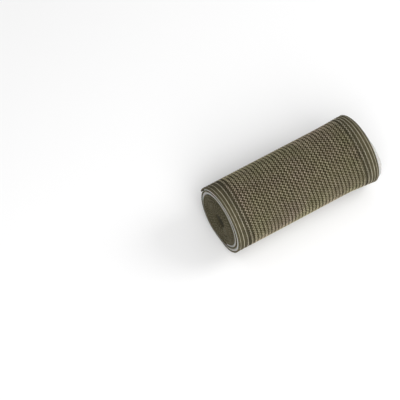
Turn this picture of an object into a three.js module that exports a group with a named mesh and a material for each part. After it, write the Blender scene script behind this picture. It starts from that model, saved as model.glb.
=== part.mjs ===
// Rolled elastic bandage with a dressing pad wound in under its last turns.
// Millimetres, Z up. The roll lies along X, its far end at +X, and rests on Z = 0 under its middle.
// A step is one facet of a turn. Steps are counted along the strip from its free end (step 0) to the core.

import * as THREE from "three";
import { mergeVertices } from "three/addons/utils/BufferGeometryUtils.js";

// Elastic strip
const BAND_WIDTH = 150;
const BAND_LENGTH = 1625;
const CLOTH = 1.2;
const RIB_PITCH = 3.66;
const GROOVE_WIDTH = 1.5;
const GROOVE_DEPTH = 0.4;
const EDGE_RIBS = 5;
const EDGE_CLOSING = 0.137;

// Roll
const CORE_RADIUS = 6.5;
const TURN_GAP = 0.3;
const STEPS_PER_TURN = 24;
const FREE_END_STEPS_UP = 7;
const SETTLE = 1.5;

// Flare of the right end, where the turns open out, most at the front just under the axis
const FLARE_LENGTH = 25;
const FLARE_FRONT = 2.5;
const FLARE_BACK = 1;
const FLARE_FRONT_ANGLE = THREE.MathUtils.degToRad(209);

// Dressing pad on the inner face of the strip, measured from the free end
const PAD_SETBACK = 12;
const PAD_LENGTH = 300;
const PAD_THICKNESS = 2.4;
const PAD_END_THICKNESS = 0.8;
const PAD_TAPER = 32;
const PAD_PROUD = 0.5;
const PAD_BULGE = 3.4;
const PAD_BULGE_ALONG = 84;
const PAD_BULGE_SPREAD = 24;
const PAD_SIDE_ROUND = 0.8;

// Hook fastening on the inner face of the strip at the core
const HOOK_LENGTH = 30;
const HOOK_THICKNESS = 1.2;
const HOOK_SIDE_INSET = 2;

// Clearance between separate pieces
const PIECE_GAP = 0.3;

// Colours
const BAND_COLOUR = 0x857c62;
const PAD_COLOUR = 0xe6e6e1;
const HOOK_COLOUR = 0x5a5542;

const STEP_ANGLE = (2 * Math.PI) / STEPS_PER_TURN;
const STRAIGHT_DOWN = -Math.PI / 2;
const SIDE = BAND_WIDTH / 2;
const FLARE_START = SIDE - FLARE_LENGTH;

// The free end lies this many steps up the back from the line that the roll rests on.
function stepAngle(step) {
  return STRAIGHT_DOWN + (FREE_END_STEPS_UP + step) * STEP_ANGLE;
}

function clamp01(value) {
  return THREE.MathUtils.clamp(value, 0, 1);
}

// How far a point of the strip lies inside the two ends of the pad; negative beyond them.
function padInset(along) {
  return Math.min(along - PAD_SETBACK, PAD_SETBACK + PAD_LENGTH - along);
}

function padThickness(along) {
  return THREE.MathUtils.lerp(PAD_END_THICKNESS, PAD_THICKNESS, clamp01(padInset(along) / PAD_TAPER));
}

// Room under the strip: the bare gap between turns, or the pad with its clearance on both faces.
// The room opens one facet before the pad starts.
function roomUnder(along, facet) {
  const opened = clamp01((padInset(along) + 2 * facet) / facet);
  return THREE.MathUtils.lerp(TURN_GAP, padThickness(along) + 2 * PIECE_GAP, opened);
}

function lengthsAlong(radii) {
  const along = [0];
  for (let step = 1; step < radii.length; step += 1) {
    const a = radii[step - 1] + CLOTH / 2;
    const b = radii[step] + CLOTH / 2;
    along.push(along[step - 1] + Math.sqrt(a * a + b * b - 2 * a * b * Math.cos(STEP_ANGLE)));
  }
  return along;
}

function lengthTo(along, step) {
  const whole = Math.min(Math.floor(step), along.length - 2);
  return THREE.MathUtils.lerp(along[whole], along[whole + 1], step - whole);
}

// Radii of the strip's inner face at each step, for a strip whose core end is at coreStep.
// Every turn is laid on the one inside it. Where the pad lies depends on the turns' lengths,
// so the winding is repeated until the strip's length stays the same.
function windStrip(coreStep) {
  const last = Math.ceil(coreStep);
  const pitch = CLOTH + TURN_GAP;
  let radii = new Array(last + 1).fill(CORE_RADIUS);
  let along = lengthsAlong(radii);
  let length = 0;
  while (Math.fround(length) !== Math.fround(lengthTo(along, coreStep))) {
    length = lengthTo(along, coreStep);
    const facet = along[1];
    for (let step = last; step >= 0; step -= 1) {
      const below = step + STEPS_PER_TURN;
      radii[step] = below > last
        ? CORE_RADIUS + ((coreStep - step) / STEPS_PER_TURN) * pitch
        : radii[below] + CLOTH + roomUnder(along[step], facet);
    }
    along = lengthsAlong(radii);
  }
  return { radii, along, last, coreStep, length };
}

// The number of steps that winds up the whole strip, halved in on from both sides.
function windRoll() {
  let few = STEPS_PER_TURN;
  let many = STEPS_PER_TURN;
  while (windStrip(many).length < BAND_LENGTH) {
    many += STEPS_PER_TURN;
  }
  let middle = (few + many) / 2;
  while (Math.fround(few) !== Math.fround(many)) {
    if (windStrip(middle).length < BAND_LENGTH) {
      few = middle;
    } else {
      many = middle;
    }
    middle = (few + many) / 2;
  }
  return windStrip(many);
}

const roll = windRoll();
const outerRadius = roll.radii.slice(0, STEPS_PER_TURN).map((radius) => radius + CLOTH);

// The roll's weight presses its underside flat, SETTLE deep under the axis.
const axisHeight = outerRadius[STEPS_PER_TURN - FREE_END_STEPS_UP] - SETTLE;

// How much the turns are opened out at x, as a ratio of their radius.
function flareRatio(x, step) {
  const opened = Math.max(0, (x - FLARE_START) / FLARE_LENGTH);
  const frontness = (1 + Math.cos(stepAngle(step) - FLARE_FRONT_ANGLE)) / 2;
  const rise = THREE.MathUtils.lerp(FLARE_BACK, FLARE_FRONT, frontness);
  return 1 + (opened * rise) / outerRadius[step % STEPS_PER_TURN];
}

// A point at x, on the given step, lying rise above (or below) the strip's inner face.
function rollPoint(x, step, rise) {
  const angle = stepAngle(step);
  const flare = flareRatio(x, step);
  const drop = -Math.sin(angle) * outerRadius[step % STEPS_PER_TURN] * flare;
  const pressed = drop > axisHeight ? axisHeight / drop : 1;
  const radius = (roll.radii[step] + rise) * flare * pressed;
  return new THREE.Vector3(x, radius * Math.cos(angle), axisHeight + radius * Math.sin(angle));
}

// The same section part of the way between two steps, on the facet that joins them.
function sectionAt(step, makeSection) {
  const whole = Math.floor(step);
  const part = step - whole;
  const section = makeSection(whole);
  if (part === 0) {
    return section;
  }
  const next = makeSection(whole + 1);
  return section.map((point, index) => point.clone().lerp(next[index], part));
}

// Step numbers from one place on the strip to another, with both ends kept exact.
function stepsBetween(from, to) {
  const steps = [from];
  for (let step = Math.floor(from) + 1; step < to; step += 1) {
    steps.push(step);
  }
  steps.push(to);
  return steps;
}

function stepAtLength(length) {
  let step = 0;
  while (step < roll.last - 1 && roll.along[step + 1] <= length) {
    step += 1;
  }
  return step + (length - roll.along[step]) / (roll.along[step + 1] - roll.along[step]);
}

function addFace(faces, ...points) {
  for (let corner = 2; corner < points.length; corner += 1) {
    faces.push(points[0], points[corner], points[corner - 1]);
  }
}

// Quads between two rows of points, facing outwards when near comes first on an outer face.
function addQuads(faces, near, far) {
  for (let column = 0; column + 1 < near.length; column += 1) {
    addFace(faces, near[column], near[column + 1], far[column + 1], far[column]);
  }
}

// A flat end across the strip, facing back towards the free end or on towards the core.
function addCap(faces, outline, facesBack) {
  const flat = outline.map(({ x, y, z }) => new THREE.Vector2(x, Math.hypot(y, z - axisHeight)));
  for (const [a, b, c] of THREE.ShapeUtils.triangulateShape(flat, [])) {
    const [p, q, r] = [outline[a], outline[b], outline[c]];
    addFace(faces, ...(facesBack ? [p, q, r] : [p, r, q]));
  }
}

function closedGeometry(faces) {
  const geometry = new THREE.BufferGeometry().setFromPoints(faces);
  const merged = mergeVertices(geometry, 1e-4);
  merged.computeVertexNormals();
  return merged;
}

// Spacings from rib to rib, from the middle line to one edge, as shares of the rib pitch:
// even ones, then ones that close up over the edge ribs. The last rib keeps half a spacing outside it.
function ribSpacings() {
  const closing = [];
  for (let rib = 0; rib < EDGE_RIBS; rib += 1) {
    closing.push(1 - EDGE_CLOSING * (rib + 0.5));
  }
  const edgeShare = closing.reduce((sum, share) => sum + share, closing[EDGE_RIBS - 1] / 2);
  const evenRibs = Math.round(SIDE / RIB_PITCH - edgeShare);
  const pitch = SIDE / (evenRibs + edgeShare);
  const shares = [...new Array(evenRibs).fill(1), ...closing];
  return shares.map((share) => ({ share, spacing: share * pitch }));
}

// Crests and grooves across the strip, from -X to +X, with a rib on the middle line.
function ribProfile() {
  const rightHalf = [];
  let rib = 0;
  for (const { share, spacing } of ribSpacings()) {
    const valley = rib + spacing / 2;
    const reach = (share * GROOVE_WIDTH) / 2;
    rightHalf.push({ x: valley - reach, depth: 0 });
    rightHalf.push({ x: valley, depth: share * GROOVE_DEPTH });
    rightHalf.push({ x: valley + reach, depth: 0 });
    rib += spacing;
  }
  rightHalf.push({ x: SIDE, depth: 0 });
  const leftHalf = rightHalf.map(({ x, depth }) => ({ x: -x, depth })).reverse();
  return [...leftHalf, ...rightHalf];
}

// The whole strip is one body. Its outermost turn, the one that shows, carries the ribs;
// the turns inside it are plain, and the ribs run one step in under the free end.
function bandGeometry() {
  const faces = [];
  const profile = ribProfile();
  const ribbedSteps = STEPS_PER_TURN + 1;
  const plainRow = (step, rise) =>
    sectionAt(step, (whole) => [-SIDE, FLARE_START, SIDE].map((x) => rollPoint(x, whole, rise)));
  const ribbedRow = (step) => profile.map(({ x, depth }) => rollPoint(x, step, CLOTH - depth));
  const outerRow = (step) => (step <= ribbedSteps ? ribbedRow(step) : plainRow(step, CLOTH));
  const steps = stepsBetween(0, roll.coreStep);

  for (let index = 0; index + 1 < steps.length; index += 1) {
    const [near, far] = [steps[index], steps[index + 1]];
    const [innerNear, innerFar] = [plainRow(near, 0), plainRow(far, 0)];
    const [outerNear, outerFar] = [outerRow(near), outerRow(far)];
    addQuads(faces, innerFar, innerNear);
    addFace(faces, innerNear[0], outerNear[0], outerFar[0], innerFar[0]);
    addFace(faces, innerNear.at(-1), innerFar.at(-1), outerFar.at(-1), outerNear.at(-1));
    if (near === ribbedSteps) {
      addRibEnds(faces, profile, outerNear, outerFar);
    } else {
      addQuads(faces, outerNear, outerFar);
    }
  }

  addCap(faces, [...plainRow(0, 0), ...ribbedRow(0).reverse()], true);
  addCap(faces, [...plainRow(roll.coreStep, 0), ...plainRow(roll.coreStep, CLOTH).reverse()], false);
  return closedGeometry(faces);
}

// Where the ribs end, their crests run out on to the plain face and the grooves are closed.
function addRibEnds(faces, profile, ribbedRow, [left, bend, right]) {
  const crests = ribbedRow.filter((point, column) => profile[column].depth === 0);
  for (let column = 0; column + 1 < crests.length; column += 1) {
    const apex = crests[column + 1].x < FLARE_START ? left : bend;
    addFace(faces, crests[column], crests[column + 1], apex);
  }
  const lastLeft = crests.filter((point) => point.x < FLARE_START).at(-1);
  addFace(faces, lastLeft, bend, left);
  addFace(faces, crests.at(-1), right, bend);
  for (let column = 1; column + 1 < ribbedRow.length; column += 1) {
    if (profile[column].depth > 0) {
      addFace(faces, ribbedRow[column - 1], ribbedRow[column], ribbedRow[column + 1]);
    }
  }
}

// A body through a row of like sections, each an outline listed the same way round.
function sectionedGeometry(sections) {
  const faces = [];
  for (let index = 0; index + 1 < sections.length; index += 1) {
    const near = sections[index];
    const far = sections[index + 1];
    for (let corner = 0; corner < near.length; corner += 1) {
      const next = (corner + 1) % near.length;
      addFace(faces, near[corner], far[corner], far[next], near[next]);
    }
  }
  addCap(faces, sections[0], true);
  addCap(faces, sections.at(-1), false);
  return closedGeometry(faces);
}

// The pad lies against the strip's inner face; its right edge swells out past the roll
// where the wrap is slack.
function padGeometry() {
  const from = stepAtLength(PAD_SETBACK);
  const to = stepAtLength(PAD_SETBACK + PAD_LENGTH);
  const makeSection = (step) => {
    const offset = (roll.along[step] - PAD_BULGE_ALONG) / PAD_BULGE_SPREAD;
    const left = -SIDE;
    const right = SIDE + PAD_PROUD + PAD_BULGE * Math.exp(-offset * offset);
    const thickness = padThickness(roll.along[step]);
    const top = -PIECE_GAP;
    const bottom = top - thickness;
    const middle = top - thickness / 2;
    return [
      rollPoint(left + PAD_SIDE_ROUND, step, bottom),
      rollPoint(FLARE_START, step, bottom),
      rollPoint(right - PAD_SIDE_ROUND, step, bottom),
      rollPoint(right, step, middle),
      rollPoint(right - PAD_SIDE_ROUND, step, top),
      rollPoint(FLARE_START, step, top),
      rollPoint(left + PAD_SIDE_ROUND, step, top),
      rollPoint(left, step, middle),
    ];
  };
  return sectionedGeometry(stepsBetween(from, to).map((step) => sectionAt(step, makeSection)));
}

// The hook fastening lines the last of the strip at the core.
function hookGeometry() {
  const to = roll.coreStep;
  const from = stepAtLength(BAND_LENGTH - HOOK_LENGTH);
  const side = SIDE - HOOK_SIDE_INSET;
  const top = -PIECE_GAP;
  const bottom = top - HOOK_THICKNESS;
  const makeSection = (step) => [
    rollPoint(-side, step, bottom),
    rollPoint(FLARE_START, step, bottom),
    rollPoint(side, step, bottom),
    rollPoint(side, step, top),
    rollPoint(FLARE_START, step, top),
    rollPoint(-side, step, top),
  ];
  return sectionedGeometry(stepsBetween(from, to).map((step) => sectionAt(step, makeSection)));
}

function cloth(name, geometry, color, roughness) {
  const material = new THREE.MeshStandardMaterial({ color, roughness, metalness: 0 });
  const mesh = new THREE.Mesh(geometry, material);
  mesh.name = name;
  return mesh;
}

const bandage = new THREE.Group();
bandage.add(cloth("elastic_bandage", bandGeometry(), BAND_COLOUR, 0.92));
bandage.add(cloth("dressing_pad", padGeometry(), PAD_COLOUR, 0.95));
bandage.add(cloth("hook_strip", hookGeometry(), HOOK_COLOUR, 0.9));

export default bandage;
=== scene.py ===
"""Rolled elastic bandage with a dressing pad wound in under its last turns.

Metres, Z up, in the frame of the solid parts: the roll lies along X and rests on Z = 0.
A step is one twenty-fourth of a turn, counted along the strip from its free end to the core.
"""

import math

import bpy
import numpy as np
from bpy.props import FloatProperty, FloatVectorProperty, IntProperty, PointerProperty
from mathutils import Matrix, Vector


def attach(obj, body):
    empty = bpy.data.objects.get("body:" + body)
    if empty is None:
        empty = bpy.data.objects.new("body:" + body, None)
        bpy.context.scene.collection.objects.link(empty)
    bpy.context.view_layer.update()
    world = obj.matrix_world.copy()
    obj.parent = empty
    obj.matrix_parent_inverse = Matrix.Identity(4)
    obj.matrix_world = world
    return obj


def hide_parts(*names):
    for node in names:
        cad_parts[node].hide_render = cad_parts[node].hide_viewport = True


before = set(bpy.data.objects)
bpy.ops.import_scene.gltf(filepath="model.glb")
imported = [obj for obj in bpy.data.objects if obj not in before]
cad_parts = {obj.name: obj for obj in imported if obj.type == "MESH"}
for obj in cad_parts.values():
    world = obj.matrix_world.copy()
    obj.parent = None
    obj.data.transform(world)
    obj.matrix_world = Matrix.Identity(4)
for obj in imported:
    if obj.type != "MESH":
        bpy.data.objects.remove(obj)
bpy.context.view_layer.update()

bl_info = {
    "name": "Rolled Elastic Bandage",
    "version": (1, 0, 0),
    "blender": (4, 5, 0),
    "location": "3D View > Sidebar > Bandage",
    "description": "Builds a rolled ribbed elastic bandage with a dressing pad wound into it",
    "category": "Add Mesh",
}

# Fixed numbers; rows are counted for each step, points for each stitch

X_AXIS = (1.0, 0.0, 0.0)
Z_AXIS = (0.0, 0.0, 1.0)

# The winding

STRAIGHT_DOWN = -math.pi / 2
STEP_TOLERANCE = 1e-6
LENGTH_TOLERANCE = 1e-9
FLARE_ROUNDING = 0.01
FLARE_STATIONS = (-0.5, 0.0, 0.5)
# Sideways strays: share, radians for each turn, start
STRAYS = ((1.0, 2.3, 0.7), (0.6, 5.1, 2.0), (0.35, 11.7, 0.0))
STRAY_AFTER_TURNS = 0.9

# The cloth and its ribs

RIBS_PAST_TURN = 1.0
RELIEF_FADE = 0.5
PLAIN_AFTER = 0.3
RIBBED_ROWS = 5
PLAIN_ROWS = 3
RIB_SHARES = np.array([0.0, 0.12, 0.3, 0.5, 0.7, 0.88])
RIB_FULLNESS = 0.7
EDGE_ARC = np.radians([-60, -20, 20, 60])

# The yarns

YARN_START = 0.12
YARN_PAST_TURN = 0.9
YARN_ROWS = 5
YARN_SINK = 0.00012
ZIGZAG_POINTS = 10
STRAIGHT_POINTS = 2
ZIGZAG_SHARPNESS = 0.95
THREAD_SIDES = 5
STRAIGHT_SIDES = 6
LOOP_MARGIN = 0.1
LOOP_ROWS = 3
LOOP_CLEARANCE = 0.00008
LOOP_LEAN = 0.35
LOOP_START = math.radians(-115)
LOOP_SWEEP = math.radians(230)
SEAM_PLACES = (0.0022, 0.0060)
STITCH_MARGIN = 0.003
STITCH_LIFT = 0.00005
SEAM_STATIONS = 60
STITCH_BEND = {
    "Start": (-0.0012, 0.0, -0.0004),
    "Start_Handle": (-0.0007, 0.0, 0.0002),
    "End_Handle": (0.0007, 0.0, 0.0002),
    "End": (0.0012, 0.0, -0.0004),
}

# The pad and the hooks

PAD_CORNER = np.array([0.0, 0.0004, 0.0013, 0.0030, 0.0060])
PAD_ROUND_SHARE = 0.4
PAD_ROWS = 6
# Uneven edge: height, radians for each metre, start
PAD_PUFFS = ((0.00025, 410, 0), (0.0002, 1130, 1))
PAD_PUFF_SHARE = 0.6
HOOK_ROWS = 4
HOOK_ROUND = 0.0003
HOOKS_PER_METRE = 650.0

# The stage

FLOOR_HALF = 3.0
LAMP_TARGET = Vector((0.0, 0.0, 0.03))
# Lamps: name, place, size and share of the key light's power
LAMPS = (("key", (-0.5, -1.3, 1.25), 1.8, 1.0), ("fill", (1.2, -0.4, 1.0), 1.0, 0.35))
CAMERA_TARGET = Vector((0.0, 0.0, 0.0295))
SENSOR_WIDTH = 36.0
FARTHEST_SEEN = 20.0

# Places of two outputs whose names aren't theirs alone

MIXED_COLOUR = 2
RANDOM_NUMBER = 1


def number(name, description, default, **more):
    return FloatProperty(name=name, description=description, default=default, **more)


def metres(name, description, default):
    return number(name, description, default, unit="LENGTH", precision=5)


def degrees(name, description, default):
    return number(name, description, math.radians(default), subtype="ANGLE")


def whole(name, description, default):
    return IntProperty(name=name, description=description, default=default)


def row(name, description, default, **more):
    return FloatVectorProperty(
        name=name, description=description, default=default, size=len(default), **more
    )


def colour(name, description, default):
    return row(name, description, default, subtype="COLOR")


class BandageRollSizes(bpy.types.PropertyGroup):
    """Sizes of the strip and of the roll; all but the ribs' bow are the solid parts' own"""

    band_width: metres("Strip Width", "Width of the strip", 0.150)
    band_length: metres("Strip Length", "Relaxed length of the strip", 1.625)
    cloth: metres("Cloth Thickness", "Thickness over the rib yarns", 0.0012)
    core_radius: metres("Core Radius", "Radius of the hole inside the first turn", 0.0065)
    turn_gap: metres("Turn Gap", "Gap between bare turns", 0.0003)
    piece_gap: metres("Piece Gap", "Gap between separate pieces", 0.0003)
    settle: metres("Settle", "How deep the underside is pressed flat", 0.0015)
    press_round: metres("Press Rounding", "Height over which the underside curves up", 0.0035)
    steps_per_turn: whole("Steps per Turn", "Steps in one turn", 24)
    bow: metres("Rib Bow", "How far ribs bow to the right, away from the facing side", 0.0032)
    bow_fade: metres("Bow Fade", "Width by each edge over which the bow fades out", 0.012)
    bow_angle: degrees("Bow Angle", "Direction of the side where the ribs don't bow", 123)
    free_end_steps: whole("Free End Steps", "Steps from the resting line up to the free end", 7)
    flare_length: metres("Flare Length", "Stretch over which the right end opens out", 0.025)
    flare_front: metres("Flare at the Front", "How far the front opens out", 0.0025)
    flare_back: metres("Flare at the Back", "How far the back opens out", 0.001)
    flare_angle: degrees("Flare Angle", "Where the flare is widest", 209)
    wander: metres("Wander", "How far the turns stray sideways at the roll's ends", 0.00045)


class BandagePadSizes(bpy.types.PropertyGroup):
    """Sizes of the dressing pad and of the hook fastening"""

    setback: metres("Setback", "From the strip's free end to the pad", 0.012)
    length: metres("Pad Length", "Length of the pad", 0.300)
    thickness: metres("Pad Thickness", "Thickness of the wound-in pad", 0.0024)
    end_thickness: metres("Pad End Thickness", "Thickness at the pad's two ends", 0.0008)
    taper: metres("Taper", "Length over which the pad's ends thin out", 0.032)
    proud: metres("Proud", "How far the right edge stands past the strip", 0.0005)
    bulge: metres("Bulge", "How much further the right edge swells", 0.0034)
    bulge_along: metres("Bulge Place", "Where the right edge swells most", 0.084)
    bulge_spread: metres("Bulge Spread", "How far the swelling reaches", 0.024)
    hook_length: metres("Hook Length", "Length of the hook fastening at the core", 0.030)
    hook_thickness: metres("Hook Thickness", "Thickness of the hook fastening", 0.0012)
    hook_inset: metres("Hook Inset", "From the strip's edge to the hook fastening", 0.002)


class BandageKnit(bpy.types.PropertyGroup):
    """The knit's ribs, yarns and colours"""

    rib_pitch: metres("Rib Pitch", "From rib to rib", 0.00366)
    edge_gaps: row("Edge Gaps", "Last gaps by each edge, in pitches", (1.13, 1.045, 0.965, 0.83))
    edge_margin: metres("Edge Margin", "From the outermost rib to the strip's edge", 0.00195)
    edge_swings: row("Edge Swings", "The last ribs' share of the zigzag", (0.7, 0.4, 0.0, 0.0))
    rib_depth: metres("Rib Depth", "From a rib's ridge down to the valley beside it", 0.0004)
    stitch: metres("Stitch Length", "Length of one zigzag stitch along the rib", 0.0029)
    sway: metres("Sway", "How far the zigzag swings to each side", 0.00123)
    slant: number("Slant", "Stitch shift from rib to rib, in stitches", 0.15)
    yarn_radius: metres("Yarn Radius", "Radius of the zigzag yarn", 0.00020)
    edge_yarn_radius: metres("Edge Yarn Radius", "Radius of the straight yarns", 0.00029)
    loop_pitch: metres("Loop Pitch", "From loop to loop along the strip's edges", 0.0030)
    ground_dark: colour("Ground Dark", "Ground of the knit, darkest", (0.017, 0.0137, 0.0070))
    ground_light: colour("Ground Light", "Ground of the knit, lightest", (0.088, 0.0735, 0.041))
    yarn_dark: colour("Yarn Dark", "Rib yarn, darkest", (0.306, 0.262, 0.174))
    yarn_light: colour("Yarn Light", "Rib yarn, lightest", (0.708, 0.612, 0.444))
    # The pad's colours are grey, not white: painted shade for the pad's shaded rim
    pad_shaded_dark: colour("Pad Shade", "Dressing pad, darkest", (0.40, 0.395, 0.375))
    pad_shaded_light: colour("Pad", "Dressing pad, lightest", (0.56, 0.56, 0.535))
    cast_shift: metres("Cast Shift", "Moves the greener and browner patches along the roll", 0.39)
    green_cast: colour("Green Cast", "Tint of the greener patches", (0.96, 1.015, 0.895))
    brown_cast: colour("Brown Cast", "Tint of the browner patches", (1.035, 0.985, 1.045))
    edge_cast: colour("Edge Cast", "Tint of the greyer cloth by the edges", (1.09, 1.15, 1.22))
    hook_dark: colour("Hook Dark", "Hook fastening, darkest", (0.030, 0.027, 0.017))
    hook_light: colour("Hook Light", "Hook fastening, lightest", (0.085, 0.076, 0.048))


class BandageStage(bpy.types.PropertyGroup):
    """The floor, the light and the camera"""

    floor_colour: colour("Floor", "Colour of the floor", (0.94, 0.94, 0.94))
    room_light: number("Room Light", "Strength of the light all round", 0.50)
    key_light: number("Key Light", "Power of the large soft lamp", 28.0, unit="POWER")
    azimuth: degrees("Azimuth", "Camera's turn round the roll", -31.9)
    elevation: degrees("Elevation", "Camera's height as an angle", 56.9)
    distance: metres("Distance", "From the camera to the roll", 1.80)
    lens: number("Lens", "Focal length in millimetres", 178.1)
    aside: metres("Aside", "How far the camera stands left of the roll's middle", 0.0807)
    below: metres("Below", "How far the camera looks below the roll's middle", 0.01465)


# The wound strip


def eased(values, step):
    """Smooth curve through values that are given at whole steps."""
    step = np.asarray(step, float)
    last = len(values) - 1
    low = np.clip(np.floor(step).astype(int), 0, last - 1)
    t = step - low
    before = values[np.maximum(low - 1, 0)]
    here = values[low]
    there = values[low + 1]
    after = values[np.minimum(low + 2, last)]
    return 0.5 * (
        2 * here
        + (there - before) * t
        + (2 * before - 5 * here + 4 * there - after) * t**2
        + (3 * here - before - 3 * there + after) * t**3
    )


class Roll:
    """Where each point of the wound strip lies."""

    def __init__(self, sizes, pad):
        self.sizes = sizes
        self.pad = pad
        self.turn = sizes.steps_per_turn
        self.step_angle = 2 * math.pi / self.turn
        few = self.turn
        many = self.turn
        while self.wind(many) < sizes.band_length:
            many += self.turn
        while many - few > STEP_TOLERANCE:
            middle = (few + many) / 2
            if self.wind(middle) < sizes.band_length:
                few = middle
            else:
                many = middle
        self.wind(many)
        self.core_step = many
        down = self.turn - sizes.free_end_steps
        self.axis_height = self.radii[down] + sizes.cloth - sizes.settle

    def pad_inset(self, along):
        """How far a place on the strip lies inside the pad's nearer end."""
        start = self.pad.setback
        return np.minimum(along - start, start + self.pad.length - along)

    def pad_thickness(self, along):
        share = np.clip(self.pad_inset(along) / self.pad.taper, 0, 1)
        return self.pad.end_thickness + (self.pad.thickness - self.pad.end_thickness) * share

    def wind(self, core_step):
        """Radii of the strip's inner face at whole steps, turn laid on turn; gives the length."""
        s = self.sizes
        last = math.ceil(core_step)
        pitch = s.cloth + s.turn_gap
        radii = np.full(last + 1, s.core_radius)
        along = self.lengths(radii)
        before = -1.0
        length = 0.0
        while abs(length - before) > LENGTH_TOLERANCE:
            before = length
            # The room for the pad opens from two steps to one step outside its ends
            opened = np.clip((self.pad_inset(along) + 2 * along[1]) / along[1], 0, 1)
            padded = self.pad_thickness(along) + 2 * s.piece_gap
            room = s.turn_gap + opened * (padded - s.turn_gap)
            for step in range(last, -1, -1):
                below = step + self.turn
                if below > last:
                    radii[step] = s.core_radius + (core_step - step) / self.turn * pitch
                else:
                    radii[step] = radii[below] + s.cloth + room[step]
            along = self.lengths(radii)
            length = float(np.interp(core_step, np.arange(last + 1), along))
        self.radii = radii
        self.along = along
        return length

    def lengths(self, radii):
        """Lengths along the strip's middle from its free end to each whole step."""
        a = radii[:-1] + self.sizes.cloth / 2
        b = radii[1:] + self.sizes.cloth / 2
        chords = np.sqrt(a * a + b * b - 2 * a * b * math.cos(self.step_angle))
        return np.concatenate([[0.0], np.cumsum(chords)])

    def length_at(self, step):
        return np.interp(step, np.arange(len(self.along)), self.along)

    def step_at(self, along):
        return float(np.interp(along, self.along, np.arange(len(self.along))))

    def angle(self, step):
        return STRAIGHT_DOWN + (self.sizes.free_end_steps + step) * self.step_angle

    def points(self, x, step, rise):
        """Points at x, lying rise outside the strip's inner face, as an array of any shape."""
        s = self.sizes
        x, step, rise = np.broadcast_arrays(x, step, rise)
        angle = self.angle(step)
        outer = eased(self.radii, np.mod(step, self.turn)) + s.cloth
        flare = 1 + self.flare(x, angle) / outer
        drop = -np.sin(angle) * outer * flare
        free = np.clip(0.5 + (self.axis_height - drop) / s.press_round / 2, 0, 1)
        curved = s.press_round * free * (1 - free)
        depth = self.axis_height + free * (drop - self.axis_height) - curved
        pressed = np.where(free < 1, depth / np.maximum(drop, LENGTH_TOLERANCE), 1.0)
        radius = (eased(self.radii, step) + rise) * flare * pressed
        height = self.axis_height + radius * np.sin(angle)
        return np.stack([x, radius * np.cos(angle), height], axis=-1)

    def flare(self, x, angle):
        """How far the outermost turn opens out at x, rounded in over the start of the flare."""
        s = self.sizes
        run = (x - s.band_width / 2 + s.flare_length) / s.flare_length
        opened = (run + np.sqrt(run * run + FLARE_ROUNDING)) / 2
        frontness = (1 + np.cos(angle - s.flare_angle)) / 2
        return opened * (s.flare_back + frontness * (s.flare_front - s.flare_back))

    def bow(self, x, step):
        """How far a rib at x bows along X; nothing on the facing side and by the edges."""
        s = self.sizes
        share = np.clip((s.band_width / 2 - np.abs(x)) / s.bow_fade, 0, 1)
        return s.bow * share * np.sin(self.angle(step) - s.bow_angle) ** 2

    def sideways(self, step):
        """How far a turn strays along X; nothing at the outermost turn."""
        turns = step / self.turn
        stray = sum(share * np.sin(rate * turns + start) for share, rate, start in STRAYS)
        return self.sizes.wander * stray * np.clip(turns - STRAY_AFTER_TURNS, 0, 1)


def sizes_of(context):
    scene = context.scene
    roll = Roll(scene.bandage_roll, scene.bandage_pad)
    return roll, scene.bandage_roll, scene.bandage_knit


# Meshes


def new_piece(name, mesh, paint):
    piece = bpy.data.objects.new(name, mesh)
    bpy.context.scene.collection.objects.link(piece)
    mesh.materials.clear()
    mesh.materials.append(paint)
    return piece


def mesh_of(name, points, faces, edges=(), smooth=True, **attributes):
    """A mesh from points and faces; attributes are one vector or number for each point."""
    mesh = bpy.data.meshes.new(name)
    mesh.from_pydata(np.asarray(points).reshape(-1, 3).tolist(), list(edges), faces)
    for key, values in attributes.items():
        values = np.asarray(values, float)
        kind, field = ("FLOAT_VECTOR", "vector") if values.ndim == 2 else ("FLOAT", "value")
        mesh.attributes.new(key, kind, "POINT").data.foreach_set(field, values.ravel())
    mesh.polygons.foreach_set("use_smooth", [smooth] * len(mesh.polygons))
    mesh.update()
    return mesh


def ring_faces(first, rows, columns):
    """Quads between rows of closed rings, the first vertex of which is number first."""
    index = first + np.arange(rows * columns).reshape(rows, columns)
    a = index[:-1]
    b = index[1:]
    quads = np.stack([a, b, np.roll(b, -1, 1), np.roll(a, -1, 1)], axis=-1)
    return quads.reshape(-1, 4).tolist()


def carried(roll, steps, outline, wander=1.0):
    """Rows of points that outline(step) gives as (x, rise), and their places on the strip."""
    rings = []
    strip = []
    for step in steps:
        x, rise = np.asarray(outline(step)).T
        rings.append(roll.points(x + wander * roll.sideways(step), step, rise))
        strip.append(np.stack([x, np.full(len(x), roll.length_at(step)), rise], axis=-1))
    return np.array(rings), np.array(strip)


def swept_mesh(name, roll, steps, outline, wander=1.0):
    """A closed body whose outline changes along the strip."""
    rings, strip = carried(roll, steps, outline, wander)
    rows, columns = rings.shape[:2]
    faces = ring_faces(0, rows, columns)
    faces.append(list(range(columns)))
    faces.append(list(range((rows - 1) * columns, rows * columns))[::-1])
    return mesh_of(name, rings, faces, strip=strip.reshape(-1, 3))


def chains(lines, **attributes):
    """A mesh of open lines, for a node group to follow."""
    edges = []
    first = 0
    for line in lines:
        edges += [(first + k, first + k + 1) for k in range(len(line) - 1)]
        first += len(line)
    return mesh_of("guide", np.concatenate(lines), [], edges, **attributes)


def spaced_steps(start, end, per_step):
    count = max(2, math.ceil((end - start) * per_step) + 1)
    return np.linspace(start, end, count)


# Node trees


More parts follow.
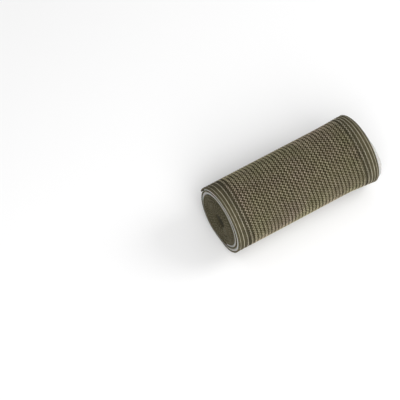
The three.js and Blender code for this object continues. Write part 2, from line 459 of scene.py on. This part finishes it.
class Tree:
    """A shader or Geometry Nodes tree, with one way to add any node."""

    def __init__(self, tree):
        self.tree = tree

    def connect(self, socket, value):
        """Links a value to a socket, or sets a plain one there."""
        if isinstance(value, Value):
            self.tree.links.new(value.socket, socket)
        else:
            socket.default_value = value

    def node(self, kind, settings=None, **inputs):
        """A node, settings first; inputs are named by socket, with _ for a space."""
        node = self.tree.nodes.new(kind)
        for key, value in (settings or {}).items():
            setattr(node, key, value)
        for key, value in inputs.items():
            name = key.replace("_", " ")
            self.connect(next(s for s in node.inputs if s.enabled and s.name == name), value)
        return node

    def add(self, kind, settings=None, output=0, **inputs):
        """A new node's output, the first where nothing else is said."""
        return Value(self, self.node(kind, settings, **inputs).outputs[output])

    def ordered(self, kind, settings, *values):
        """A node whose values go to its sockets in order, as Math and Vector Math have them."""
        node = self.node(kind, settings)
        for socket, value in zip([s for s in node.inputs if s.enabled], values):
            self.connect(socket, value)
        return Value(self, node.outputs[0])

    def vector(self, operation, *values):
        return self.ordered("ShaderNodeVectorMath", {"operation": operation}, *values)

    def mix(self, share, low, high, blend="MIX"):
        """The colour this share of the way from low to high."""
        low, high = (c if isinstance(c, Value) else (*c, 1.0) for c in (low, high))
        settings = {"data_type": "RGBA", "blend_type": blend, "clamp_factor": True}
        return self.add("ShaderNodeMix", settings, MIXED_COLOUR, Factor=share, A=low, B=high)

    def attribute(self, name, output="Fac"):
        """An attribute of the mesh as a number, or with output Vector as a vector."""
        return self.add("ShaderNodeAttribute", {"attribute_name": name}, output)

    def object_place(self):
        return self.add("ShaderNodeTexCoord", output="Object")


class Value:
    """A node's output, with arithmetic."""

    def __init__(self, tree, socket):
        self.tree = tree
        self.socket = socket

    def maths(self, operation, *values, clamp=False):
        settings = {"operation": operation, "use_clamp": clamp}
        return self.tree.ordered("ShaderNodeMath", settings, *values)

    def __add__(self, other):
        return self.maths("ADD", self, other)

    def __sub__(self, other):
        return self.maths("SUBTRACT", self, other)

    def __rsub__(self, other):
        return self.maths("SUBTRACT", other, self)

    def __mul__(self, other):
        return self.maths("MULTIPLY", self, other)

    def __truediv__(self, other):
        return self.maths("DIVIDE", self, other)

    def __rtruediv__(self, other):
        return self.maths("DIVIDE", other, self)

    __radd__ = __add__
    __rmul__ = __mul__

    def wave(self, cycles=1.0):
        """Swings from -1 to 1, cycles times for each unit."""
        return self.maths("SINE", self * (2 * math.pi * cycles))

    def sine(self, cycles=1.0):
        """The same swing from 0 to 1."""
        return self.wave(cycles) * 0.5 + 0.5

    def size(self):
        return self.maths("ABSOLUTE", self)

    def clamped(self):
        return self.maths("ADD", self, 0.0, clamp=True)

    def noise(self, scale, detail=2.0, rough=0.55):
        """A noise that follows this vector, about 0 to 1."""
        return self.tree.add(
            "ShaderNodeTexNoise", Vector=self, Scale=scale, Detail=detail, Roughness=rough
        )

    def centred_noise(self, scale):
        """A plain noise that swings either side of 0."""
        return self.noise(scale, detail=1.0, rough=0.5) - 0.5

    def parts(self):
        node = self.tree.node("ShaderNodeSeparateXYZ", Vector=self)
        return [Value(self.tree, socket) for socket in node.outputs]

    def between(self, low, high):
        """The colour this far from low to high."""
        return self.tree.mix(self, low, high)


class Nodes(Tree):
    """One Geometry Nodes group: its inputs in order, its nodes, and the modifier that runs it."""

    def __init__(self, name, paint):
        super().__init__(bpy.data.node_groups.new(name, "GeometryNodeTree"))
        self.tree.is_modifier = True
        self.source = self.tree.nodes.new("NodeGroupInput")
        self.values = {}
        self.paint = paint
        self.geometry = self.input("Geometry", "NodeSocketGeometry")
        self.painted = self.input("Material", "NodeSocketMaterial", paint)
        self.tree.interface.new_socket(
            "Geometry", in_out="OUTPUT", socket_type="NodeSocketGeometry"
        )

    def input(self, name, kind="NodeSocketFloat", value=None):
        socket = self.tree.interface.new_socket(name, in_out="INPUT", socket_type=kind)
        key = socket.identifier
        if value is not None:
            self.values[key] = value
        return Value(self, next(s for s in self.source.outputs if s.identifier == key))

    def kept(self, geometry, name, value):
        """The geometry with a number kept at each point."""
        settings = {"data_type": "FLOAT", "domain": "POINT"}
        return self.add(
            "GeometryNodeStoreNamedAttribute", settings, Geometry=geometry, Name=name, Value=value
        )

    def read(self, name, kind="FLOAT"):
        return self.add("GeometryNodeInputNamedAttribute", {"data_type": kind}, Name=name)

    def guide_curve(self):
        return self.add("GeometryNodeMeshToCurve", Mesh=self.geometry)

    def tube(self, curve, radius, sides):
        """A round yarn along a curve, with the places along and around it kept for its ply."""
        length = self.add("GeometryNodeSplineParameter", output="Length")
        curve = self.kept(curve, "yarn_along", length)
        ring = self.add("GeometryNodeCurvePrimitiveCircle", Resolution=sides, Radius=radius)
        ring = self.kept(ring, "yarn_around", self.add("GeometryNodeSplineParameter"))
        return self.add("GeometryNodeCurveToMesh", Curve=curve, Profile_Curve=ring, Fill_Caps=True)

    def spots(self, pitch):
        """Evenly spaced points along the guide lines, and the lines' direction there."""
        curve = self.guide_curve()
        spots = self.node(
            "GeometryNodeCurveToPoints", {"mode": "LENGTH"}, Curve=curve, Length=pitch
        )
        return [Value(self, spots.outputs[name]) for name in ("Points", "Tangent")]

    def facing_out(self, axis):
        """A turn that points an axis of a thread away from the roll."""
        outward = self.read("outward", "FLOAT_VECTOR")
        return self.add("FunctionNodeAlignRotationToVector", {"axis": axis}, Vector=outward)

    def set_on(self, points, thread, turned, axis, angle):
        """The thread on each point, turned and then leaned about an axis of its own."""
        lean = self.add("FunctionNodeAxisAngleToRotation", Axis=axis, Angle=angle)
        local = {"rotation_space": "LOCAL"}
        turned = self.add("FunctionNodeRotateRotation", local, Rotation=turned, Rotate_By=lean)
        return self.add(
            "GeometryNodeInstanceOnPoints", Points=points, Instance=thread, Rotation=turned
        )

    def finish(self, geometry):
        """Realize Instances, smooth, Set Material, and out."""
        real = self.add("GeometryNodeRealizeInstances", Geometry=geometry)
        smooth = self.add("GeometryNodeSetShadeSmooth", Geometry=real)
        done = self.add("GeometryNodeSetMaterial", Geometry=smooth, Material=self.painted)
        out = self.tree.nodes.new("NodeGroupOutput")
        self.connect(out.inputs[0], done)

    def applied(self, name, mesh):
        """Runs the group on a mesh and gives the plain result as a new piece."""
        guide = bpy.data.objects.new(name + "_guide", mesh)
        bpy.context.scene.collection.objects.link(guide)
        modifier = guide.modifiers.new(name, "NODES")
        modifier.node_group = self.tree
        for identifier, value in self.values.items():
            modifier[identifier] = value
        graph = bpy.context.evaluated_depsgraph_get()
        result = bpy.data.meshes.new_from_object(guide.evaluated_get(graph))
        guide.modifiers.remove(modifier)
        bpy.data.objects.remove(guide)
        if len(result.polygons) == 0:
            raise RuntimeError(f"{name} came out empty")
        result.name = name
        return new_piece(name, result, self.paint)


# Finishes; in a sum of patterns, a factor is a pattern's share and the number alone the level


def material(name, plain, paint, gloss, depth=0.0, **constants):
    """A material; paint(tree) gives its colour, its roughness and the height of its bumps."""
    made = bpy.data.materials.new(name)
    made.use_nodes = True
    tree = Tree(made.node_tree)
    shader = next(n for n in made.node_tree.nodes if n.type == "BSDF_PRINCIPLED")
    shader.inputs["Specular IOR Level"].default_value = gloss
    for key, value in constants.items():
        shader.inputs[key.replace("_", " ")].default_value = value
    found = paint(tree)
    tree.connect(shader.inputs["Base Color"], found["colour"])
    tree.connect(shader.inputs["Roughness"], found["rough"])
    if "height" in found:
        bump = tree.add("ShaderNodeBump", Distance=depth, Height=found["height"])
        tree.connect(shader.inputs["Normal"], bump)
    made.diffuse_color = (*plain, 1.0)
    return made


def beyond(distance, start, spread):
    """From 0 at the start to 1 a spread further out, on either side."""
    return ((distance.size() - start) / spread).clamped()


def cast(tree, knit, shade):
    """The shade with the dyed cloth's slow drift from green to brown, and greyer by the edges."""
    gain = 3.6
    start = 1.5
    place = tree.object_place()
    moved = tree.vector("ADD", place, (knit.cast_shift, 0.0, 0.0))
    drift = (gain * moved.noise(scale=26.0) - start).clamped()
    along_roll, _, _ = place.parts()
    by_edge = beyond(along_roll, start=0.058, spread=0.008)
    tint = by_edge.between(drift.between(knit.green_cast, knit.brown_cast), knit.edge_cast)
    return tree.mix(1.0, shade, tint, blend="MULTIPLY")


def ground_material(knit, thick):
    """The knit's dark ground: cross threads over a soft mottle, darkest on the ribs' ridges as
    painted shade under the rib yarn.
    """
    threads_per_stitch = 2

    def paint(tree):
        place = tree.attribute("strip", output="Vector")
        across, along, rise = place.parts()
        by_edge = beyond(across, start=0.063, spread=0.006)
        # Painted shade: the ground is darkened on the ridges, where the rib yarn lies over it, but
        # not by the edges
        ridge_shade = (1 + (rise - thick) / knit.rib_depth).clamped() * (1 - by_edge)
        threads = along.sine(threads_per_stitch / knit.stitch)
        fuzz = place.noise(scale=2600.0)
        mottle = place.noise(scale=190.0, detail=3.0)
        lit = 0.4 * threads + 0.5 * fuzz + 0.9 * mottle + 0.15 * by_edge
        tone = (lit - 0.5 * ridge_shade - 0.35).clamped()
        return {
            "colour": cast(tree, knit, tone.between(knit.ground_dark, knit.ground_light)),
            "rough": 0.86 + 0.12 * fuzz,
            "height": 0.7 * threads + 0.6 * fuzz,
        }

    return material("knit_ground", knit.ground_light, paint, gloss=0.12, depth=0.00022)


def yarn_material(name, knit, dark, light, twist=0.0011):
    """A plied yarn: turns of ply along it, pale flecks, and a slow change over the cloth."""
    rim_shade = 0.3

    def paint(tree):
        place = tree.object_place()
        ply = (tree.attribute("yarn_along") / twist + tree.attribute("yarn_around")).sine()
        fleck = place.noise(scale=1500.0)
        patch = place.noise(scale=190.0)
        tone = (0.35 * ply + 0.8 * fleck + 1.3 * patch - 0.75).clamped()
        shade = cast(tree, knit, tone.between(dark, light))
        return {
            "colour": (rim_shade * tree.attribute("outermost")).between(shade, knit.ground_light),
            "rough": 0.8 + 0.15 * fleck,
            "height": ply + 0.5 * fleck,
        }

    return material(name, light, paint, gloss=0.15, depth=0.00012)


def pad_material(knit):
    """Soft white nonwoven, coloured grey as painted shade: short crossing fibres, faint dimples,
    and layers where an edge shows.
    """
    layer = 0.0007

    def paint(tree):
        place = tree.object_place()
        fibres = place.noise(scale=1400.0, detail=4.0, rough=0.7)
        dimples = tree.add("ShaderNodeTexVoronoi", Vector=place, Scale=420.0)
        soft = place.noise(scale=120.0)
        _, _, rise = tree.attribute("strip", output="Vector").parts()
        layers = (rise / layer + 0.9 * place.noise(scale=300.0)).sine()
        tone = 0.7 * fibres + 0.5 * soft + 0.35 * dimples + 0.5 * layers - 0.45
        return {
            # Painted shade: the white pad is coloured in greys
            "colour": tone.clamped().between(knit.pad_shaded_dark, knit.pad_shaded_light),
            "rough": 0.9 + 0.08 * fibres,
            "height": 0.7 * fibres + 0.4 * dimples + 0.6 * layers,
        }

    glow = {"Subsurface_Weight": 0.15, "Subsurface_Scale": 0.002}
    return material("pad_nonwoven", knit.pad_shaded_light, paint, gloss=0.2, depth=0.00035, **glow)


def hook_material(knit):
    """Woven tape set with rows of short hooks."""

    def paint(tree):
        place = tree.attribute("strip", output="Vector")
        across, along, _ = place.parts()
        hooks = across.sine(HOOKS_PER_METRE) * along.sine(HOOKS_PER_METRE)
        fuzz = place.noise(scale=2400.0)
        tone = (0.7 * hooks + 0.4 * fuzz).clamped()
        return {
            "colour": tone.between(knit.hook_dark, knit.hook_light),
            "rough": 0.7 + 0.2 * fuzz,
            "height": hooks + 0.2 * fuzz,
        }

    return material("hook_tape", knit.hook_light, paint, gloss=0.35, depth=0.0005)


def floor_material(stage):
    """A pale floor with a change that is almost too soft to see."""
    darkest = 0.985
    pale = stage.floor_colour

    def paint(tree):
        soft = tree.object_place().noise(scale=3.0)
        return {
            "colour": soft.between([darkest * c for c in pale], pale),
            "rough": 0.85 + 0.05 * soft,
        }

    return material("pale_floor", pale, paint, gloss=0.1)


# The cloth, its yarns, the pad and the hook fastening


def rib_places(sizes, knit):
    """X of each rib and its share of the zigzag; the last ribs run straighter by each edge."""
    edge_ribs = np.cumsum(knit.edge_gaps)
    reach = sizes.band_width / 2 - knit.edge_margin
    half = round(reach / knit.rib_pitch - edge_ribs[-1])
    pitch = reach / (half + edge_ribs[-1])
    middle = pitch * np.arange(-half, half + 1)
    right = pitch * (half + edge_ribs)
    swings = np.array(knit.edge_swings)
    places = np.concatenate([-right[::-1], middle, right])
    return places, np.concatenate([swings[::-1], np.ones(len(middle)), swings])


def flare_stations(sizes):
    """X of the lines along which the cloth bends into the flare."""
    bend = sizes.band_width / 2 - sizes.flare_length
    return [bend + share * sizes.flare_length for share in FLARE_STATIONS]


class BANDAGE_OT_cloth(bpy.types.Operator):
    """Build the elastic strip's ground, wound from its free end to the core"""

    bl_idname = "bandage.cloth"
    bl_label = "Wind the Strip"

    def execute(self, context):
        roll, sizes, knit = sizes_of(context)
        thick = sizes.cloth - knit.yarn_radius
        radius = thick / 2
        flat = sizes.band_width / 2 - radius
        ribs, _ = rib_places(sizes, knit)
        valleys = np.concatenate([[-flat], (ribs[1:] + ribs[:-1]) / 2, [flat]])
        across = [-flat, *flare_stations(sizes), flat]
        under = [(x, 0.0) for x in across]
        over = [(x, thick) for x in reversed(across)]
        right = [(flat + radius * math.cos(a), radius + radius * math.sin(a)) for a in EDGE_ARC]
        left = [(-x, rise) for x, rise in reversed(right)]
        ribbed_end = roll.turn + RIBS_PAST_TURN

        def plain_outline(step):
            return under + right + over + left

        def ribbed_outline(step):
            relief = knit.rib_depth * min(1.0, (ribbed_end - step) / RELIEF_FADE)
            x = np.append(valleys[:-1, None] + np.diff(valleys)[:, None] * RIB_SHARES, valleys[-1])
            x = x + roll.bow(x, step)
            swell = np.tile(np.sin(np.pi * RIB_SHARES) ** RIB_FULLNESS, len(ribs))
            swell = np.append(swell, 1.0)
            swell[0] = 1.0
            ridges = [(a, thick - relief * (1 - b)) for a, b in zip(x, swell)]
            return under + right + ridges[::-1] + left

        outer_steps = spaced_steps(0.0, ribbed_end, RIBBED_ROWS)
        inner_steps = spaced_steps(ribbed_end + PLAIN_AFTER, roll.core_step, PLAIN_ROWS)
        outer, outer_strip = carried(roll, outer_steps, ribbed_outline)
        inner, inner_strip = carried(roll, inner_steps, plain_outline)
        wide = outer.shape[1]
        narrow = inner.shape[1]
        join = len(outer) * wide
        total = join + len(inner) * narrow
        faces = ring_faces(0, len(outer), wide) + ring_faces(join, len(inner), narrow)

        near = list(range(join - wide, join))
        far = list(range(join, join + narrow))
        arc = len(EDGE_ARC)
        low = len(across) + arc
        for k in range(low):
            faces.append([near[k], far[k], far[k + 1], near[k + 1]])
        for k in range(1, arc + 1):
            faces.append([near[-k - 1], far[-k - 1], far[-k], near[-k]])
        faces.append([near[-1], far[-1], far[0], near[0]])
        faces.append(near[low : wide - arc][::-1] + far[low : narrow - arc])
        faces.append(list(range(wide)))
        faces.append(list(range(total - narrow, total))[::-1])

        points = np.vstack([*outer, *inner])
        strip = np.vstack([*outer_strip, *inner_strip])
        mesh = mesh_of("elastic_cloth", points, faces, strip=strip)
        cloth = new_piece("elastic_cloth", mesh, ground_material(knit, thick))
        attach(cloth, "root")
        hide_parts("elastic_bandage")
        return {"FINISHED"}


def rib_lines(roll, sizes, places, radius):
    """Lines along the ribs at these places, deep enough for a yarn of this radius."""
    steps = spaced_steps(YARN_START, roll.turn + YARN_PAST_TURN, YARN_ROWS)
    return [roll.points(x + roll.bow(x, steps), steps, sizes.cloth - radius) for x in places]


def yarn_nodes(name, radius, spacing, paint):
    """A group that follows lines; the part in the middle is left for the caller to bend."""
    nodes = Nodes(name, paint)
    radius = nodes.input("Yarn Radius", value=radius)
    spacing = nodes.input("Point Spacing", value=spacing)
    curve = nodes.add(
        "GeometryNodeResampleCurve", {"mode": "LENGTH"}, Curve=nodes.guide_curve(), Length=spacing
    )
    return nodes, curve, radius


class BANDAGE_OT_rib_yarns(bpy.types.Operator):
    """Lay the zigzag yarns along the ribs, and the straight ones by the edges"""

    bl_idname = "bandage.rib_yarns"
    bl_label = "Lay the Rib Yarns"

    def execute(self, context):
        roll, sizes, knit = sizes_of(context)
        ribs, swings = rib_places(sizes, knit)
        paint = yarn_material("rib_yarn", knit, knit.yarn_dark, knit.yarn_light)
        made = []

        nodes, curve, radius = yarn_nodes(
            "Zigzag Yarns", knit.yarn_radius, knit.stitch / ZIGZAG_POINTS, paint
        )
        sway = nodes.input("Sway", value=knit.sway)
        slant = nodes.input("Slant", value=knit.slant / knit.rib_pitch)
        uneven = nodes.input("Unevenness", value=0.9)
        wander = nodes.input("Stitch Wander", value=0.45)
        ribbed_length = roll.length_at(roll.turn + RIBS_PAST_TURN)
        stitches = nodes.input("Stitches", value=ribbed_length / knit.stitch)
        place = nodes.add("GeometryNodeInputPosition")
        x, _, _ = place.parts()
        turn = nodes.add("GeometryNodeSplineParameter") * stitches + x * slant
        turn = turn + place.centred_noise(scale=120.0) * wander
        swing = turn.maths("ARCSINE", turn.wave() * ZIGZAG_SHARPNESS) / math.asin(ZIGZAG_SHARPNESS)
        reach = 1.0 + place.centred_noise(scale=500.0) * uneven
        aside = swing * reach * (nodes.read("swing") * sway)
        tangent = nodes.add("GeometryNodeInputTangent")
        outward = nodes.vector("NORMALIZE", nodes.vector("CROSS_PRODUCT", tangent, X_AXIS))
        dive = nodes.vector("SCALE", outward, swing.size() * -YARN_SINK)
        shift = nodes.vector("ADD", dive, nodes.add("ShaderNodeCombineXYZ", X=aside))
        curve = nodes.add("GeometryNodeSetPosition", Geometry=curve, Offset=shift)
        nodes.finish(nodes.tube(curve, radius, THREAD_SIDES))
        for name, half in zip(ZIGZAG_PIECES, (ribs < 0, ribs >= 0)):
            chosen = (swings > 0) & half
            lines = rib_lines(roll, sizes, ribs[chosen], knit.yarn_radius)
            swing_along = np.repeat(swings[chosen], len(lines[0]))
            made.append(nodes.applied(name, chains(lines, swing=swing_along)))

        nodes, curve, radius = yarn_nodes(
            "Straight Yarns", knit.edge_yarn_radius, knit.stitch / STRAIGHT_POINTS, paint
        )
        nodes.finish(nodes.tube(curve, radius, STRAIGHT_SIDES))
        straight = ribs[swings == 0]
        lines = rib_lines(roll, sizes, straight, knit.edge_yarn_radius + YARN_SINK)
        reach = np.abs(straight)
        share = (reach - reach.min()) / (reach.max() - reach.min())
        outermost = np.repeat(share, len(lines[0]))
        made.append(nodes.applied("edge_rib_yarns", chains(lines, outermost=outermost)))
        for piece in made:
            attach(piece, "root")
        return {"FINISHED"}


class BANDAGE_OT_edge_loops(bpy.types.Operator):
    """Set the small loops that bind both edges of the strip, all the way to the core"""

    bl_idname = "bandage.edge_loops"
    bl_label = "Bind the Edges"

    def execute(self, context):
        roll, sizes, knit = sizes_of(context)
        thick = sizes.cloth - knit.yarn_radius
        paint = yarn_material("edge_yarn", knit, knit.ground_light, knit.yarn_dark)
        steps = spaced_steps(LOOP_MARGIN, roll.core_step - LOOP_MARGIN, LOOP_ROWS)
        lines = []
        outward = []
        for sign in (-1, 1):
            x = sign * (sizes.band_width / 2 - thick / 2) + roll.sideways(steps)
            lines.append(roll.points(x, steps, thick / 2))
            outward.append(np.tile([float(sign), 0.0, 0.0], (len(steps), 1)))

        nodes = Nodes("Edge Loops", paint)
        pitch = nodes.input("Loop Pitch", value=knit.loop_pitch)
        reach = nodes.input("Loop Radius", value=thick / 2 + LOOP_CLEARANCE)
        yarn = nodes.input("Yarn Radius", value=0.0002)
        seed = nodes.input("Seed", "NodeSocketInt", 7)
        points, tangent = nodes.spots(pitch)
        arc = nodes.add(
            "GeometryNodeCurveArc", Resolution=8, Radius=reach, Start_Angle=LOOP_START,
            Sweep_Angle=LOOP_SWEEP,
        )
        loop = nodes.tube(arc, yarn, THREAD_SIDES)
        turned = nodes.add(
            "FunctionNodeAlignRotationToVector", {"axis": "Z", "pivot_axis": "X"},
            Rotation=nodes.facing_out("X"), Vector=tangent,
        )
        tilt = nodes.add(
            "FunctionNodeRandomValue", {"data_type": "FLOAT"}, RANDOM_NUMBER,
            Min=-LOOP_LEAN, Max=LOOP_LEAN, Seed=seed,
        )
        nodes.finish(nodes.set_on(points, loop, turned, X_AXIS, tilt))
        loops = nodes.applied("edge_loops", chains(lines, outward=np.concatenate(outward)))
        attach(loops, "root")
        return {"FINISHED"}


class BANDAGE_OT_end_stitches(bpy.types.Operator):
    """Sew the free end with two rows of slanting stitches"""

    bl_idname = "bandage.end_stitches"
    bl_label = "Sew the Free End"

    def execute(self, context):
        roll, sizes, knit = sizes_of(context)
        paint = yarn_material("end_thread", knit, knit.ground_light, knit.yarn_dark, twist=0.0007)
        side = sizes.band_width / 2 - STITCH_MARGIN
        across = np.linspace(-side, side, SEAM_STATIONS)
        lines = []
        outward = []
        for along in SEAM_PLACES:
            step = roll.step_at(along)
            angle = float(roll.angle(step))
            lines.append(roll.points(across, step, sizes.cloth + STITCH_LIFT))
            outward.append(np.tile([0.0, math.cos(angle), math.sin(angle)], (SEAM_STATIONS, 1)))

        nodes = Nodes("End Stitches", paint)
        pitch = nodes.input("Stitch Pitch", value=0.0022)
        yarn = nodes.input("Yarn Radius", value=0.00022)
        slope = nodes.input("Slope", value=0.6)
        points, _ = nodes.spots(pitch)
        arc = nodes.add("GeometryNodeCurvePrimitiveBezierSegment", Resolution=6, **STITCH_BEND)
        stitch = nodes.tube(arc, yarn, THREAD_SIDES)
        turned = nodes.facing_out("Z")
        nodes.finish(nodes.set_on(points, stitch, turned, Z_AXIS, slope))
        stitches = nodes.applied("end_stitches", chains(lines, outward=np.concatenate(outward)))
        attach(stitches, "root")
        return {"FINISHED"}


class BANDAGE_OT_pad(bpy.types.Operator):
    """Build the dressing pad between the last turns, with its swelling right edge"""

    bl_idname = "bandage.pad"
    bl_label = "Lay In the Pad"

    def execute(self, context):
        roll, sizes, knit = sizes_of(context)
        pad = roll.pad
        bends = flare_stations(sizes)

        def outline(step):
            along = float(roll.length_at(step))
            thick = float(roll.pad_thickness(along))
            swell = pad.bulge * math.exp(-(((along - pad.bulge_along) / pad.bulge_spread) ** 2))
            puff = sum(high * math.sin(along * rate + start) for high, rate, start in PAD_PUFFS)
            left = -sizes.band_width / 2
            right = sizes.band_width / 2 + pad.proud + swell + puff * PAD_PUFF_SHARE
            middle = -sizes.piece_gap - thick / 2
            inward = np.minimum(PAD_CORNER / (PAD_ROUND_SHARE * thick), 1)
            half = thick / 2 * np.sqrt(1 - (1 - inward) ** 2)
            corner = list(zip(PAD_CORNER, half))
            face = [(left + a, h) for a, h in corner]
            face += [(x, half[-1]) for x in bends]
            face += [(right - a, h) for a, h in reversed(corner)]
            lower = [(x, middle - h) for x, h in face]
            upper = [(x, middle + h) for x, h in face[-2:0:-1]]
            return lower + upper

        start = roll.step_at(pad.setback)
        end = roll.step_at(pad.setback + pad.length)
        mesh = swept_mesh("pad", roll, spaced_steps(start, end, PAD_ROWS), outline, wander=0.0)
        piece = new_piece("pad", mesh, pad_material(knit))
        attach(piece, "root")
        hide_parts("dressing_pad")
        return {"FINISHED"}


class BANDAGE_OT_hook(bpy.types.Operator):
    """Line the core with the hook fastening"""

    bl_idname = "bandage.hook"
    bl_label = "Line the Core"

    def execute(self, context):
        roll, sizes, knit = sizes_of(context)
        pad = roll.pad
        side = sizes.band_width / 2 - pad.hook_inset
        top = -sizes.piece_gap
        low = top - pad.hook_thickness
        inner = side - HOOK_ROUND
        under = [(x, low) for x in (-inner, *flare_stations(sizes), inner)]
        over = [(x, top) for x, _ in reversed(under)]
        right = [(side, low + HOOK_ROUND), (side, top - HOOK_ROUND)]
        left = [(-side, top - HOOK_ROUND)]

        def outline(step):
            return [(-side, low + HOOK_ROUND)] + under + right + over + left

        start = roll.step_at(sizes.band_length - pad.hook_length)
        steps = spaced_steps(start, roll.core_step, HOOK_ROWS)
        mesh = swept_mesh("hook_tape", roll, steps, outline)
        piece = new_piece("hook_tape", mesh, hook_material(knit))
        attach(piece, "root")
        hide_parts("hook_strip")
        return {"FINISHED"}


class BANDAGE_OT_stage(bpy.types.Operator):
    """Set the floor, the soft light and the camera"""

    bl_idname = "bandage.stage"
    bl_label = "Set the Stage"

    def execute(self, context):
        scene = context.scene
        stage = scene.bandage_stage
        signs = ((-1, -1), (1, -1), (1, 1), (-1, 1))
        corners = [(x * FLOOR_HALF, y * FLOOR_HALF, 0) for x, y in signs]
        mesh = mesh_of("floor", corners, [[0, 1, 2, 3]], smooth=False)
        floor = new_piece("floor", mesh, floor_material(stage))

        world = bpy.data.worlds.new("room")
        world.use_nodes = True
        back = next(n for n in world.node_tree.nodes if n.type == "BACKGROUND")
        back.inputs["Color"].default_value = (1.0, 1.0, 1.0, 1.0)
        back.inputs["Strength"].default_value = stage.room_light
        scene.world = world

        for name, place, size, share in LAMPS:
            lamp = bpy.data.lights.new(name, "AREA")
            lamp.energy = stage.key_light * share
            lamp.shape = "DISK"
            lamp.size = size
            holder = bpy.data.objects.new(name, lamp)
            scene.collection.objects.link(holder)
            holder.location = place
            aim = LAMP_TARGET - Vector(place)
            holder.rotation_euler = aim.to_track_quat("-Z", "Y").to_euler()

        flat = math.cos(stage.elevation)
        right = Vector((math.cos(stage.azimuth), math.sin(stage.azimuth), 0.0))
        backwards = Vector((right.y * flat, -right.x * flat, math.sin(stage.elevation)))
        up = backwards.cross(right)
        camera = bpy.data.cameras.new("camera")
        camera.lens = stage.lens
        camera.sensor_width = SENSOR_WIDTH
        camera.clip_end = FARTHEST_SEEN
        holder = bpy.data.objects.new("camera", camera)
        scene.collection.objects.link(holder)
        place = CAMERA_TARGET + backwards * stage.distance - right * stage.aside - up * stage.below
        turn = Matrix((right, up, backwards)).transposed().to_4x4()
        holder.matrix_world = Matrix.Translation(place) @ turn
        scene.camera = holder
        scene.view_settings.view_transform = "Standard"
        scene.view_settings.look = "None"
        return {"FINISHED"}


class BANDAGE_PT_panel(bpy.types.Panel):
    """Everything that builds the bandage, in order"""

    bl_idname = "BANDAGE_PT_panel"
    bl_label = "Elastic Bandage"
    bl_space_type = "VIEW_3D"
    bl_region_type = "UI"
    bl_category = "Bandage"

    def draw(self, context):
        for group in GROUPS:
            box = self.layout.box()
            settings = getattr(context.scene, group)
            for key in settings.__annotations__:
                box.prop(settings, key)
        for operator in OPERATORS:
            self.layout.operator(operator.bl_idname)


ZIGZAG_PIECES = ("zigzag_yarns_left", "zigzag_yarns_right")
GROUPS = {
    "bandage_roll": BandageRollSizes,
    "bandage_pad": BandagePadSizes,
    "bandage_knit": BandageKnit,
    "bandage_stage": BandageStage,
}
OPERATORS = (
    BANDAGE_OT_cloth,
    BANDAGE_OT_rib_yarns,
    BANDAGE_OT_edge_loops,
    BANDAGE_OT_end_stitches,
    BANDAGE_OT_pad,
    BANDAGE_OT_hook,
    BANDAGE_OT_stage,
)


def register():
    for key, group in GROUPS.items():
        bpy.utils.register_class(group)
        setattr(bpy.types.Scene, key, PointerProperty(type=group))
    for item in (*OPERATORS, BANDAGE_PT_panel):
        bpy.utils.register_class(item)


def unregister():
    for item in (BANDAGE_PT_panel, *reversed(OPERATORS)):
        bpy.utils.unregister_class(item)
    for key, group in reversed(GROUPS.items()):
        delattr(bpy.types.Scene, key)
        bpy.utils.unregister_class(group)


def main():
    register()
    bpy.ops.bandage.cloth()
    bpy.ops.bandage.rib_yarns()
    bpy.ops.bandage.edge_loops()
    bpy.ops.bandage.end_stitches()
    bpy.ops.bandage.pad()
    bpy.ops.bandage.hook()
    bpy.ops.bandage.stage()


if __name__ == "__main__":
    main()
